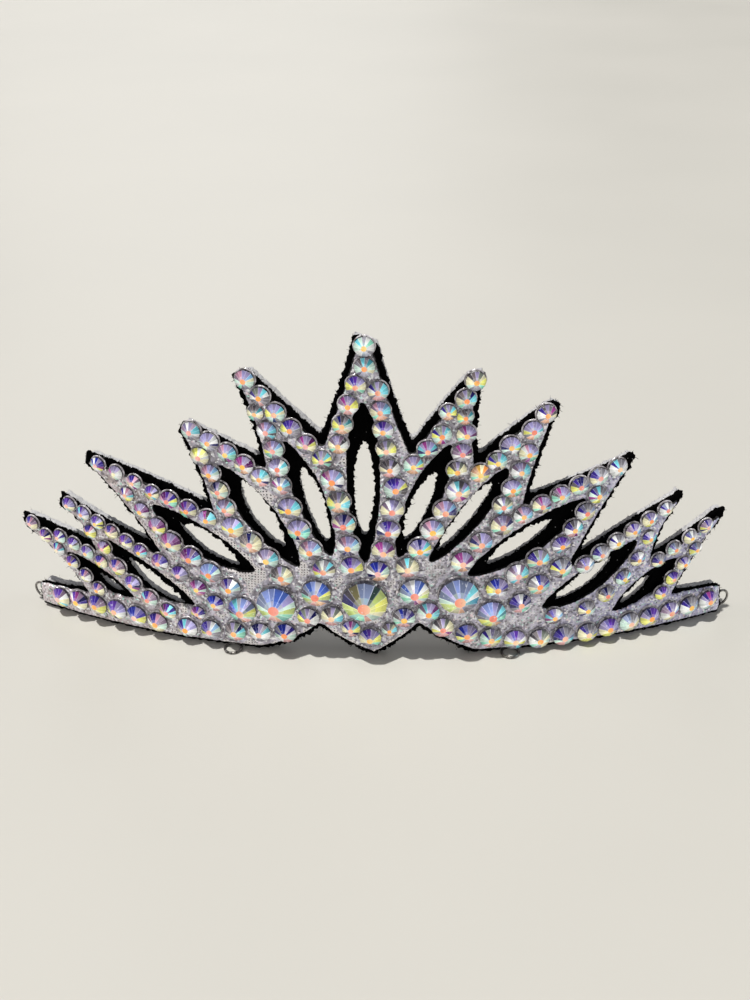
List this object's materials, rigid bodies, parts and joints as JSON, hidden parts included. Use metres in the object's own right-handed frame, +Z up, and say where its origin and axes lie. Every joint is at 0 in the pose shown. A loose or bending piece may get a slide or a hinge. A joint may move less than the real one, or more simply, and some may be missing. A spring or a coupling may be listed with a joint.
{
  "type": "hair bun crown",
  "caption": "Curved tiara-like crown of glitter fabric on felt, with pierced pointed peaks set with flat-backed cut stones and wire loops for pinning it round a hair bun.",
  "frame": {"origin": "on the surface that the crown stands on, under the middle of its box", "axes": "+X from the crown's left end to its right end as seen from the front, +Y from the front to the hollow back, +Z up"},
  "size_m": [0.1628, 0.0274, 0.0755],
  "materials": {
    "glitter_fabric": "silver glitter in clear glue on woven cloth",
    "black_felt": "rough matte felt with a fuzzy cut edge",
    "white_felt": "matte white felt",
    "cut_stone": "faceted glass on foil with a rainbow coating",
    "loop_wire": "thin drawn wire"
  },
  "bodies": {
    "root": {"face": "glitter_fabric", "black_felt": "black_felt", "backing_felt": "white_felt", "centre_stone": "cut_stone", "large_stone_left": "cut_stone", "large_stone_right": "cut_stone", "medium_stone_left_outer": "cut_stone", "medium_stone_left_inner": "cut_stone", "medium_stone_right_inner": "cut_stone", "medium_stone_right_outer": "cut_stone", "stones_left": "cut_stone", "stones_right": "cut_stone", "loop_left_end": "loop_wire", "loop_right_end": "loop_wire", "loop_left_foot": "loop_wire", "loop_right_foot": "loop_wire"}
  },
  "joints": []
}
